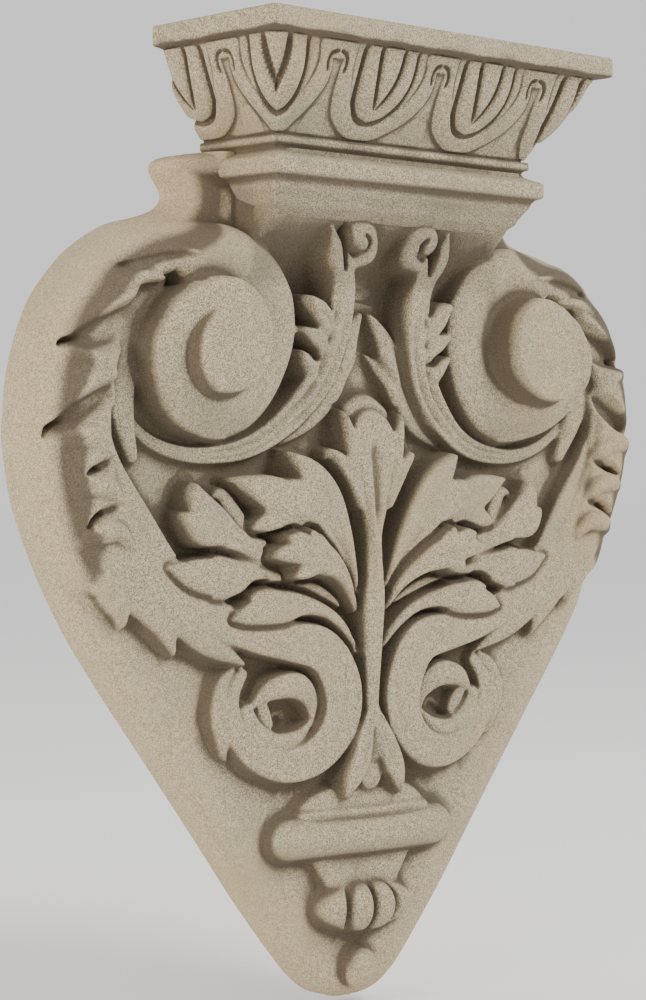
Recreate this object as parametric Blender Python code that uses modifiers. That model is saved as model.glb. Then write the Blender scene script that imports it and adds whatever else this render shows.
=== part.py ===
"""Carved stone wall console: a heart-shaped plate with a small moulded shelf on top.

The back lies on the wall at y = 0, the front looks to -Y and +Z is up. The origin is on the
back face, a quarter of a metre below the top. Metres.
"""
import math

import bmesh
import bpy
from mathutils import Vector

# Driving sizes, in metres
TOP = 0.250
HEIGHT = 0.4958
PLATE_WIDTH = 0.4308
PLATE_THICKNESS = 0.018
PLATE_ROUNDING = 0.005
SHELF_WIDTH = 0.2456
SHELF_DEPTH = 0.0905
SHELF_THICKNESS = 0.0106
SHELF_EASING = 0.0012
SHELF_CORNER = 0.0030
OVOLO_HEIGHT = 0.0447
OVOLO_TOP_INSET = 0.0055
OVOLO_FOOT_INSET = 0.0320
OVOLO_CORNER = 0.0100
FILLET_INSET = 0.0314
FILLET_HEIGHT = 0.0049
FILLET_CORNER = 0.0020
HOLLOW_HEIGHT = 0.0072
HOLLOW_DEPTH = 0.0020
BAND_INSET = 0.0258
BAND_HEIGHT = 0.0078
NECK_INSET = 0.0347
NECK_TOP_INSET = 0.0302
NECK_FOOT_INSET = 0.0647
NECK_HEIGHT = 0.0700
TONGUE_WIDE = 0.0160
TONGUE_NARROW = 0.0065
TONGUE_RISE = 0.0030
RELIEF = 1.0

STONE_COLOUR = (0.45, 0.40, 0.33, 1.0)
STONE_ROUGHNESS = 0.9

# The carving keeps its proportions: it is drawn on a sheet in millimetres, with x from the
# centre line and z from a line just below the lowest tip, and stretched with the plate.
SHEET_TOP = 500.0
SHEET_TIP = 4.2
SHEET_WIDTH = 430.8
X_SCALE = PLATE_WIDTH / SHEET_WIDTH
Z_SCALE = HEIGHT / (SHEET_TOP - SHEET_TIP)
DEPTH_SCALE = 0.001 * RELIEF
SHEET_GROUND = 18.0
MERGE = 0.00002

# The neck below the band: share of its height from the top, and how far in it is, where 0 is its
# top inset, 1 its own inset and 2 the inset at its foot
NECK_CURVE = ((0.057, 0.25), (0.143, 1.0), (0.229, 1.0), (0.571, 1.27), (1.0, 2.0))
LEVEL_GAP = 0.0003
HOLLOW_BEND = 0.6

# Depths of the mouldings fall a little faster to the front than to the sides.
FRONT_SHARE = 1.08
CORNER_STEPS = 3
OVOLO_STEPS = 7
TONGUE_STEPS = 7
TONGUE_SINK = 0.0060
TONGUE_PITCH_SHARE = 0.289
TONGUE_REACH = 0.86
TONGUE_BLUNTNESS = 0.02
SLOPE_STEP = 0.02

# The carving is fused at this fineness and then thinned to about this many facets.
FUSE_SIZE = 0.0016
FACETS = 9300
FLAT_REACH = 0.0002

# Pieces run past the wall plane by this much, and one cut then makes the whole back flat.
WALL_SPARE = 0.006


def place(x, z, depth):
    """A point of the sheet in space; depth counts from the wall through the plate's face."""
    raised = (depth - SHEET_GROUND) * DEPTH_SCALE
    return Vector((x * X_SCALE, -(PLATE_THICKNESS + raised), TOP - (SHEET_TOP - z) * Z_SCALE))


def smooth_values(rows, count):
    """Rows of numbers, joined by a smooth curve through them and read at even steps."""
    last = len(rows) - 1
    result = []
    for step in range(count):
        along = step * last / (count - 1)
        index = min(int(along), last - 1)
        t = along - index
        before = rows[max(index - 1, 0)]
        start = rows[index]
        end = rows[index + 1]
        after = rows[min(index + 2, last)]
        values = []
        for a, b, c, d in zip(before, start, end, after):
            values.append(0.5 * (2 * b + (c - a) * t + (2 * a - 5 * b + 4 * c - d) * t * t
                                 + (3 * b - a - 3 * c + d) * t * t * t))
        result.append(values)
    return result


def new_object(name, verts, faces, collection):
    """A mesh object from points and faces, with its faces turned outwards."""
    mesh = bpy.data.meshes.new(name)
    mesh.from_pydata([tuple(v) for v in verts], [], faces)
    body = bmesh.new()
    body.from_mesh(mesh)
    bmesh.ops.remove_doubles(body, verts=body.verts, dist=MERGE)
    bmesh.ops.recalc_face_normals(body, faces=body.faces)
    body.to_mesh(mesh)
    body.free()
    obj = bpy.data.objects.new(name, mesh)
    collection.objects.link(obj)
    return obj


def skin(name, rings, collection):
    """A closed body through rings of equally many points, with flat ends."""
    size = len(rings[0])
    verts = [point for ring in rings for point in ring]
    faces = []
    for row in range(len(rings) - 1):
        for column in range(size):
            after = (column + 1) % size
            faces.append((row * size + column, row * size + after,
                          (row + 1) * size + after, (row + 1) * size + column))
    faces.append(tuple(range(size)))
    first = (len(rings) - 1) * size
    faces.append(tuple(reversed(range(first, first + size))))
    return new_object(name, verts, faces, collection)


# Cross-sections of carved strokes: (share of the half width, share of the rise)
CROWNED = ((-1.0, 0.45), (-0.62, 0.88), (0.0, 1.0), (0.62, 0.88), (1.0, 0.45))
VEINED = ((-1.0, 0.55), (-0.6, 1.0), (0.0, 0.72), (0.6, 1.0), (1.0, 0.55))
RIBBED = ((-1.0, 0.5), (-0.66, 1.0), (-0.1, 0.6), (0.35, 0.95), (1.0, 0.5))
ROLLED = ((-1.0, 0.0), (-0.85, 0.45), (-0.5, 0.84), (0.0, 1.0), (0.5, 0.97), (1.0, 0.7))
SINK = 7.0
THINNEST = 0.9


def stroke(name, rows, section, collection, sign=1):
    """One carved lobe, stem or band on the plate, on the right (sign 1) or mirrored to the left.

    rows: x, z, half width and depth of the crest from the wall, along the middle line. Two
    stations are set for each row.
    """
    count = 2 * len(rows) - 1
    stations = smooth_values(rows, count)
    rings = []
    for index, (x, z, half, depth) in enumerate(stations):
        back = stations[max(index - 1, 0)]
        ahead = stations[min(index + 1, count - 1)]
        run = Vector((ahead[0] - back[0], ahead[1] - back[1]))
        run.normalize()
        side = Vector((run.y, -run.x))
        half = max(half, THINNEST)
        rise = depth - SHEET_GROUND
        ring = [place(sign * (x - side.x * half), z - side.y * half, SHEET_GROUND - SINK)]
        for across, share in section:
            ring.append(place(sign * (x + side.x * half * across), z + side.y * half * across,
                              SHEET_GROUND + rise * share))
        ring.append(place(sign * (x + side.x * half), z + side.y * half, SHEET_GROUND - SINK))
        rings.append(ring)
    return skin(name, rings, collection)


def plate(collection):
    """The heart-shaped back plate, flat behind and rounded along its front edge."""
    half_outline = ((0.0, 4.2), (12.0, 5.0), (26.0, 12.0), (39.0, 23.6), (68.5, 58.2), (127.6, 134.5),
                    (181.4, 206.0), (201.5, 245.0), (214.6, 284.0), (215.4, 310.0), (205.4, 349.0),
                    (185.3, 378.3), (160.0, 396.0), (137.0, 403.5), (121.5, 410.0), (118.6, 417.0),
                    (125.4, 428.0), (120.0, 435.5), (98.0, 438.0), (60.0, 438.0), (0.0, 438.0))
    points = half_outline + tuple((-x, z) for x, z in reversed(half_outline[1:-1]))
    edge = [place(x, z, SHEET_GROUND) for x, z in points]
    rings = []
    for depth, inset in ((-WALL_SPARE, 0.0), (PLATE_THICKNESS - PLATE_ROUNDING, 0.0),
                         (PLATE_THICKNESS, PLATE_ROUNDING)):
        ring = []
        for index, point in enumerate(edge):
            before = edge[index - 1]
            after = edge[(index + 1) % len(edge)]
            along = Vector((after.x - before.x, 0.0, after.z - before.z)).normalized()
            inward = Vector((-along.z, 0.0, along.x))
            moved = point + inward * inset
            ring.append(Vector((moved.x, -depth, moved.z)))
        rings.append(ring)
    return skin("plate", rings, collection)


def ovolo_point(t):
    """Inset from the shelf's edge and height, down the hollowed quarter round below the shelf."""
    angle = math.radians(90 * t)
    inset = OVOLO_TOP_INSET + (OVOLO_FOOT_INSET - OVOLO_TOP_INSET) * (1 - math.cos(angle))
    return inset, TOP - SHELF_THICKNESS - OVOLO_HEIGHT * math.sin(angle)


def rounded_ring(inset, z, radius):
    """One level of the shelf: three sides with round corners, run past the wall plane."""
    x = SHELF_WIDTH / 2 - inset
    y = SHELF_DEPTH - inset * FRONT_SHARE
    ring = [Vector((x, 2 * WALL_SPARE, z))]
    for sign, first in ((1, 0.0), (-1, 90.0)):
        for step in range(CORNER_STEPS + 1):
            angle = math.radians(first + 90.0 * step / CORNER_STEPS)
            ring.append(Vector((sign * (x - radius) + radius * math.cos(angle),
                                -(y - radius + radius * math.sin(angle)), z)))
    ring.append(Vector((-x, 2 * WALL_SPARE, z)))
    return ring


def shelf(collection):
    """The shelf, its quarter round, the fillets and the neck, returned along both sides."""
    under = TOP - SHELF_THICKNESS
    levels = [(0.0, TOP + WALL_SPARE, SHELF_CORNER), (0.0, under + SHELF_EASING, SHELF_CORNER),
              (SHELF_EASING, under, SHELF_CORNER)]
    for step in range(OVOLO_STEPS + 1):
        inset, z = ovolo_point(step / OVOLO_STEPS)
        levels.append((inset, z, OVOLO_CORNER))
    below = under - OVOLO_HEIGHT
    hollow = (FILLET_INSET + BAND_INSET) / 2 + HOLLOW_DEPTH
    levels.append((FILLET_INSET, below - LEVEL_GAP, FILLET_CORNER))
    levels.append((FILLET_INSET, below - FILLET_HEIGHT, FILLET_CORNER))
    levels.append((hollow + HOLLOW_DEPTH, below - FILLET_HEIGHT - LEVEL_GAP, FILLET_CORNER))
    levels.append((hollow, below - FILLET_HEIGHT - HOLLOW_HEIGHT * HOLLOW_BEND, FILLET_CORNER))
    levels.append((BAND_INSET, below - FILLET_HEIGHT - HOLLOW_HEIGHT, FILLET_CORNER))
    band_foot = below - FILLET_HEIGHT - HOLLOW_HEIGHT - BAND_HEIGHT
    levels.append((BAND_INSET, band_foot, FILLET_CORNER))
    levels.append((NECK_TOP_INSET, band_foot - LEVEL_GAP, FILLET_CORNER))
    for drop, share in NECK_CURVE:
        inset = NECK_TOP_INSET + (NECK_INSET - NECK_TOP_INSET) * min(share, 1.0)
        inset += (NECK_FOOT_INSET - NECK_INSET) * max(share - 1.0, 0.0)
        levels.append((inset, band_foot - NECK_HEIGHT * drop, FILLET_CORNER))
    return skin("shelf", [rounded_ring(*level) for level in levels], collection)


def tongue(name, start, side, out, half, rise, reach, collection):
    """A leaf tongue lying on the quarter round, from under the shelf down towards its foot."""
    rings = []
    for step in range(TONGUE_STEPS + 1):
        t = reach * step / TONGUE_STEPS
        inset, z = ovolo_point(t)
        before, z_before = ovolo_point(max(t - SLOPE_STEP, 0.0))
        after, z_after = ovolo_point(t + SLOPE_STEP)
        slope = Vector((before - after, z_after - z_before)).normalized()
        level_out = Vector((out.x, out.y * FRONT_SHARE, 0.0))
        centre = start - level_out * inset + Vector((0.0, 0.0, z))
        normal = (out * -slope.y + Vector((0.0, 0.0, slope.x)) * -1.0).normalized()
        width = half * math.sqrt(max(1.0 - (step / TONGUE_STEPS) ** 3, TONGUE_BLUNTNESS))
        ring = [centre - side * width - normal * TONGUE_SINK]
        for across, share in VEINED:
            ring.append(centre + side * width * across + normal * rise * share)
        ring.append(centre + side * width - normal * TONGUE_SINK)
        rings.append(ring)
    return skin(name, rings, collection)


def tongues(collection):
    """Leaf tongues around the quarter round, spaced from the middle, with one over each corner."""
    pieces = []
    half = SHELF_WIDTH / 2
    pitch = half * TONGUE_PITCH_SHARE
    front = Vector((0.0, -1.0, 0.0))
    along = Vector((1.0, 0.0, 0.0))
    for index in range(-2, 3):
        width = TONGUE_NARROW if index % 2 == 0 else TONGUE_WIDE
        start = Vector((index * pitch, -SHELF_DEPTH, 0.0))
        pieces.append(tongue("tongue", start, along, front, width, TONGUE_RISE, TONGUE_REACH,
                             collection))
    for sign in (1, -1):
        out = Vector((sign * 1.0, -1.0, 0.0))
        easing = OVOLO_CORNER * (1 - math.sqrt(0.5))
        start = Vector((sign * (half - easing), -(SHELF_DEPTH - easing), 0.0))
        side = Vector((1.0, sign * 1.0, 0.0)).normalized()
        pieces.append(tongue("corner_tongue", start, side, out, TONGUE_NARROW, TONGUE_RISE,
                             TONGUE_REACH, collection))
        for depth, width in ((SHELF_DEPTH * 0.5, TONGUE_NARROW), (SHELF_DEPTH * 0.13, TONGUE_WIDE)):
            start = Vector((sign * half, -depth, 0.0))
            out = Vector((sign * 1.0, 0.0, 0.0))
            pieces.append(tongue("side_tongue", start, front, out, width, TONGUE_RISE,
                                 TONGUE_REACH, collection))
    return pieces


def collection_named(name, hidden):
    """A collection in the scene, shown in renders or not."""
    made = bpy.data.collections.new(name)
    bpy.context.scene.collection.children.link(made)
    made.hide_render = hidden
    return made


def disc(name, x, z, edge, rows, collection, steps=28):
    """A round or snail-shaped boss: rows of (share of the edge radius, depth)."""
    rings = []
    for share, depth in rows:
        ring = []
        for step in range(steps):
            angle = math.tau * step / steps
            radius = edge(angle) * share
            ring.append(place(x + radius * math.cos(angle), z + radius * math.sin(angle), depth))
        rings.append(ring)
    return skin(name, rings, collection)


def snail_edge(angle):
    """Radius of the big volute's rim about its eye; it winds in from the top, round the inside."""
    turn = (math.degrees(angle) - 90.0) % 360.0
    table = smooth_values(((56.0,), (60.5,), (60.5,), (58.0,), (55.0,), (47.0,), (38.0,), (37.0,),
                           (56.0,)), 361)
    return table[int(turn)][0]


def cut_flat(mesh, point, outward):
    """Cuts a mesh along a plane, drops what lies beyond it and closes it with flat faces."""
    body = bmesh.new()
    body.from_mesh(mesh)
    everything = list(body.verts) + list(body.edges) + list(body.faces)
    bmesh.ops.bisect_plane(body, geom=everything, dist=MERGE, plane_co=point, plane_no=outward,
                           clear_outer=True)
    rim = [edge for edge in body.edges if edge.is_boundary]
    bmesh.ops.triangle_fill(body, use_beauty=True, edges=rim, normal=outward)
    bmesh.ops.recalc_face_normals(body, faces=body.faces)
    body.to_mesh(mesh)
    body.free()


def keep_largest(mesh):
    """Removes the loose crumbs that fusing can leave beside thin tips."""
    body = bmesh.new()
    body.from_mesh(mesh)
    left = set(body.verts)
    groups = []
    while left:
        group = []
        waiting = [left.pop()]
        while waiting:
            vert = waiting.pop()
            group.append(vert)
            for edge in vert.link_edges:
                other = edge.other_vert(vert)
                if other in left:
                    left.remove(other)
                    waiting.append(other)
        groups.append(group)
    groups.sort(key=len)
    crumbs = [vert for group in groups[:-1] for vert in group]
    bmesh.ops.delete(body, geom=crumbs, context="VERTS")
    body.to_mesh(mesh)
    body.free()


def lay_flat(mesh):
    """Puts the points that thinning moved off the wall plane or the shelf's top back on it."""
    for vert in mesh.vertices:
        if abs(vert.co.y) < FLAT_REACH:
            vert.co.y = 0.0
        if abs(vert.co.z - TOP) < FLAT_REACH:
            vert.co.z = TOP


def changed_by(obj, modifier):
    """The mesh of an object after one modifier, which is then taken off again."""
    bpy.context.view_layer.update()
    evaluated = obj.evaluated_get(bpy.context.evaluated_depsgraph_get())
    mesh = bpy.data.meshes.new_from_object(evaluated)
    obj.modifiers.remove(modifier)
    return mesh


def build():
    for obj in list(bpy.data.objects):
        bpy.data.objects.remove(obj)
    parts = collection_named("decorative console", False)
    carving = collection_named("carving", True)

    body = bpy.data.objects.new("console", bpy.data.meshes.new("console"))
    parts.objects.link(body)
    pieces = [plate(carving), shelf(carving)]
    pieces.extend(tongues(carving))

    # Big volutes: a snail-shaped disc with a raised eye
    eye_x, eye_z = 116.5, 347.5
    for sign in (1, -1):
        def edge(angle, sign=sign):
            return snail_edge(angle if sign > 0 else math.pi - angle)
        pieces.append(disc("volute", sign * eye_x, eye_z, edge,
                           ((1.0, 11.0), (1.0, 28.0), (0.93, 33.0), (0.58, 40.0)), carving))
        pieces.append(disc("volute eye", sign * eye_x, eye_z, lambda angle: 29.0,
                           ((1.0, 20.0), (1.0, 47.0), (0.82, 52.5), (0.4, 54.0)), carving, 20))

    # Leaves and bands on the right half, mirrored to the left: x, z, half width, depth of the crest
    strokes = (
        ("shoulder", CROWNED, ((146, 366, 5, 25), (156, 352, 7, 25), (163, 338, 8, 26), (164, 322, 6.5, 26),
                               (158, 308, 4, 24))),
        ("stem", CROWNED, ((171, 348, 6, 27), (178, 318, 7, 29), (176, 297, 6.8, 29), (162.5, 272, 7.8, 29),
                           (146.5, 248, 9.2, 29), (127, 222, 10.6, 30), (95, 203, 10, 31), (58, 194, 11.5, 33),
                           (38, 190, 13, 33.5), (25, 179, 14, 33.5), (19, 162, 14.3, 33), (24, 146, 13, 32),
                           (37, 134, 11.5, 31), (54, 130, 9.5, 30), (70, 133, 8, 29), (84, 142, 7.5, 28),
                           (91.5, 155, 6.5, 27), (90, 168, 5, 26), (83, 178, 4, 25))),
        ("scroll leaf", CROWNED, ((39, 150, 2, 26), (41, 163, 6, 29), (52, 171.5, 8, 32), (67, 170, 6.5, 31),
                                  (78, 163, 3, 27))),
        ("scroll floor", CROWNED, ((43, 149, 2.5, 26), (53, 143.5, 4, 27), (66, 143, 5, 27), (79, 150, 5, 26),
                                   (82, 160, 4, 26))),
        ("border", ROLLED, ((128, 391, 7, 31), (150, 384, 12, 34), (168, 371, 15, 37), (184, 353, 16, 39),
                            (195, 332, 17, 39.5), (198, 305, 16.5, 39.5), (196, 280, 16.5, 39),
                            (187, 257, 15, 38), (176, 239, 12, 36), (165, 226, 9.5, 34), (155, 216, 7.5, 32),
                            (130, 205, 5.5, 29), (112, 201, 4, 27))),
        ("border lobe", CROWNED, ((195, 350, 8, 38.5), (187, 359, 10.5, 39), (174, 368.5, 9, 38.5),
                                  (157, 372, 5.5, 37.5), (140, 371.5, 1.6, 36))),
        ("border lobe", CROWNED, ((199, 323, 12, 39.5), (193, 326.5, 11.5, 40), (184, 329.5, 7.5, 38.5),
                                  (171, 332.5, 1.6, 36))),
        ("border lobe", CROWNED, ((200, 292, 10, 39.5), (193, 292.5, 9.5, 40), (184, 296.5, 7, 38.5),
                                  (171, 303.5, 1.6, 36))),
        ("border lobe", CROWNED, ((197, 269.5, 10, 39), (188, 270, 9.5, 40), (178, 272, 6.8, 38.5),
                                  (163, 273.5, 1.6, 36))),
        ("border lobe", CROWNED, ((188, 250, 9, 38.5), (181, 250.5, 9.5, 39.5), (172, 254, 6.5, 38),
                                  (158, 259.5, 1.6, 36))),
        ("border tip", CROWNED, ((176, 226, 7, 32), (167, 213, 5, 29), (162.5, 203.5, 1.5, 26))),
        ("volute leaf", CROWNED, ((176, 381, 7, 37.5), (166, 386, 9, 40), (150, 389, 7.5, 40.5),
                                  (136, 388.5, 4.6, 40), (121, 386, 1.4, 39))),
        ("strap", RIBBED, ((163, 322, 3.5, 24), (156, 306, 4.5, 24), (142, 294, 5, 24), (122, 287.5, 5.5, 24.5),
                           (103, 287, 6, 25), (84, 290.5, 6.5, 26), (66, 298.5, 7.5, 28), (50, 311, 9, 31),
                           (37, 328, 10, 34), (30, 350, 9.5, 37), (28, 370, 8.5, 40), (31, 385, 7, 43))),
        ("sprig inside", CROWNED, ((56, 293, 2, 21), (38, 303, 4.5, 24), (25, 318, 7, 27), (17, 335, 8, 29),
                                   (12, 348, 6.5, 28), (6, 357, 4, 26), (2.5, 361, 1.6, 25))),
        ("sprig lobe", CROWNED, ((24, 322, 6, 27), (12, 332, 4.5, 25), (3.5, 339.5, 1.8, 22))),
        ("sprig lobe", CROWNED, ((29, 347, 7, 37), (41, 358, 7.5, 40), (50, 366, 3.5, 40))),
        ("sprig lobe", CROWNED, ((33, 340, 6, 36), (45, 347, 5.5, 38), (53, 351, 2.8, 37))),
        ("sprig lobe", CROWNED, ((36, 322, 6, 32), (45, 332, 6, 35), (53.5, 339.5, 2.5, 36))),
        ("sprig top", CROWNED, ((29, 368, 7, 41), (37, 382, 8, 44), (41, 393, 6, 46), (42, 402, 2.5, 45))),
        ("sprig curl", CROWNED, ((27, 384, 5, 42), (16, 391, 7.5, 45), (20, 398, 10.5, 49.5),
                                 (25, 400, 9.5, 49.5))),
        ("lowest leaf", VEINED, ((11, 190, 2.5, 27), (24, 204, 4, 30), (40, 211.5, 5, 32), (58, 213, 8, 33),
                                 (76, 211, 11, 33), (92, 207, 5, 31))),
        ("low leaf", VEINED, ((20, 214, 4, 28), (50, 228, 7, 31), (80, 233, 9, 32), (106, 229, 12, 32),
                              (124, 231, 8, 31), (136, 233, 1.5, 29))),
        ("outer leaf", VEINED, ((40, 228, 4, 28), (80, 240, 9, 32), (102, 249, 10, 34), (114, 257, 11.5, 34.5),
                                (119.5, 269.5, 3.5, 33.5))),
        ("outer leaf back", CROWNED, ((84, 245, 6, 32), (95, 260, 7, 29.5), (102, 268, 5, 28),
                                      (107, 266, 3, 29))),
        ("upper leaf", VEINED, ((9, 222, 2.5, 31), (20, 243, 6.5, 34), (34, 262, 9, 36), (46, 277, 9, 37),
                                (56, 287, 3.5, 36))),
        ("upper leaf", VEINED, ((16, 222, 4, 31), (34, 241, 9, 35), (56, 257, 13, 37.5), (76, 266, 11, 37),
                                (97, 274.5, 1.8, 35))),
        ("upper leaf lobe", CROWNED, ((56, 254, 9, 36), (72, 256, 9, 36.5), (80, 252, 5, 35))),
        ("front leaf", VEINED, ((11, 212, 2.5, 31), (24, 226, 5.5, 35), (40, 236, 8.5, 38.5), (56, 240, 9, 40),
                                (70, 241, 7, 39), (76, 241.5, 3, 37))),
        ("front leaf lobe", CROWNED, ((44, 238, 7, 38.5), (56, 231, 6, 38.5), (60, 229, 3, 37))),
        ("middle leaf tip", CROWNED, ((11, 270, 7, 34), (15.5, 289, 6.5, 34), (18.5, 301, 4, 34),
                                      (21, 310, 1.4, 32.5))),
        ("middle leaf curl", CROWNED, ((12, 266, 6, 34), (20, 280, 5, 34), (27, 287.5, 4.2, 32.5),
                                       (30.5, 286, 2.2, 29))),
        ("calyx", CROWNED, ((3, 152, 3.5, 31), (8, 136, 6, 33.5), (15, 122, 5, 33.5), (18, 115, 1.5, 32))),
        ("rib", CROWNED, ((8.4, 41, 5, 25), (9.3, 47, 9.4, 30), (9.3, 53, 9.4, 31), (9, 60, 8.5, 28),
                          (8.5, 64, 5, 25))),
        ("rib", CROWNED, ((24.5, 41, 5, 23), (27, 47, 8.8, 27), (27, 53, 8.8, 28), (26, 60, 8, 26),
                          (25, 64, 5, 23))),
    )
    for name, section, rows in strokes:
        for sign in (1, -1):
            pieces.append(stroke(name, rows, section, carving, sign))

    # Middle leaf, its rolled tip, urn, ring and ball
    middle = (
        ("middle leaf", VEINED, ((0, 122, 9, 31), (0, 140, 6, 31), (0, 165, 5, 31.5), (0, 190, 7.5, 33),
                                 (0, 212, 8.3, 34.5), (0, 235, 8, 35.5), (0, 252, 10.5, 35.5), (0, 268, 15, 35),
                                 (0, 283, 19, 34.5), (0, 294, 19, 34), (0, 301, 12, 32))),
        ("rolled tip", CROWNED, ((0, 294, 16, 28), (0, 304, 20, 29), (0, 312, 18, 26), (0, 319, 9, 22))),
        ("urn bowl", CROWNED, ((0, 96, 45, 31), (0, 107, 44, 33), (0, 116, 36, 32), (0, 122, 20, 28))),
        ("urn neck", CROWNED, ((0, 60, 29, 27), (0, 70, 34, 29), (0, 82, 42, 30))),
        ("urn ring", CROWNED, ((-65, 90.5, 6, 19), (-60, 90.5, 9, 26), (-32, 90.5, 10.5, 32),
                               (0, 90.5, 10.5, 33.5), (32, 90.5, 10.5, 32), (60, 90.5, 9, 26),
                               (65, 90.5, 6, 19))),
        ("ball", CROWNED, ((0, 11.5, 3, 20), (0, 15, 8, 25), (0, 21.5, 10, 27.5), (0, 28, 8, 25),
                           (0, 31.5, 3, 20))),
    )
    for name, section, rows in middle:
        pieces.append(stroke(name, rows, section, carving))

    fused = bmesh.new()
    for piece in pieces:
        fused.from_mesh(piece.data)
        bpy.data.objects.remove(piece)
    fused.to_mesh(body.data)
    fused.free()
    fuse = body.modifiers.new("fuse", "REMESH")
    fuse.mode = "VOXEL"
    fuse.voxel_size = FUSE_SIZE
    body.data = changed_by(body, fuse)
    keep_largest(body.data)
    cut_flat(body.data, (0.0, 0.0, 0.0), (0.0, 1.0, 0.0))
    cut_flat(body.data, (0.0, 0.0, TOP), (0.0, 0.0, 1.0))
    thin = body.modifiers.new("thin", "DECIMATE")
    thin.ratio = FACETS / (2 * len(body.data.polygons))
    thin.use_collapse_triangulate = True
    body.data = changed_by(body, thin)
    lay_flat(body.data)

    stone = bpy.data.materials.new("stone")
    stone.use_nodes = True
    shader = stone.node_tree.nodes["Principled BSDF"]
    shader.inputs["Base Color"].default_value = STONE_COLOUR
    shader.inputs["Roughness"].default_value = STONE_ROUGHNESS
    shader.inputs["Metallic"].default_value = 0.0
    body.data.materials.append(stone)


build()
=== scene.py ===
"""Decorative wall console of pale sandstone: a heart-shaped carved plate under a moulded shelf.

The plate and its carving are one relief, the shelf with its leaf moulding and neck is the second
piece. Both lie inside the console's own box, on the wall at y = 0, facing -Y.
"""

import math

import bpy
import numpy as np
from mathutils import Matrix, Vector


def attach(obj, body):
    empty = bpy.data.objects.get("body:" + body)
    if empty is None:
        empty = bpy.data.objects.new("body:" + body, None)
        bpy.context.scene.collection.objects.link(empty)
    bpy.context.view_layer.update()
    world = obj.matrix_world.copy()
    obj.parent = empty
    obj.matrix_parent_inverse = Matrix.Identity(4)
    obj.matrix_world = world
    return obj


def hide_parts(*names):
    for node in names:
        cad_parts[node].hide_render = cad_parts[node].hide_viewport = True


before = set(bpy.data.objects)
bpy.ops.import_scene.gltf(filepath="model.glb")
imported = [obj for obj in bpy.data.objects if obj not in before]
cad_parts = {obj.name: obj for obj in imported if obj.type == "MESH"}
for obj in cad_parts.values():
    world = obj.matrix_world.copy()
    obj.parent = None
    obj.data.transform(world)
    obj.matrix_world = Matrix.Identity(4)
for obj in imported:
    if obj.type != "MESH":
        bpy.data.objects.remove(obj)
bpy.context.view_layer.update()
for chosen in bpy.context.selected_objects:
    chosen.select_set(False)

# Sizes in millimetres on the carver's sheet: x from the middle line, z from the lowest tip,
# depth from the wall
MM = 0.001
HEIGHT = 500.0
GROUND = 18.0


def smooth_rows(rows, per_span=6):
    """A smooth curve through rows of numbers, read at even steps."""
    rows = np.asarray(rows, float)
    padded = np.vstack([rows[:1], rows, rows[-1:]])
    result = []
    for index in range(len(rows) - 1):
        a, b, c, d = padded[index:index + 4]
        for t in np.arange(per_span) / per_span:
            result.append(0.5 * (2 * b + (c - a) * t + (2 * a - 5 * b + 4 * c - d) * t * t
                                 + (3 * b - a - 3 * c + d) * t ** 3))
    result.append(rows[-1])
    return np.array(result)


# Folds are drawn shallower than they are cut, as the soft finish of the stone takes part of them away
FOLD_DEPTH = 1.6


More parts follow.
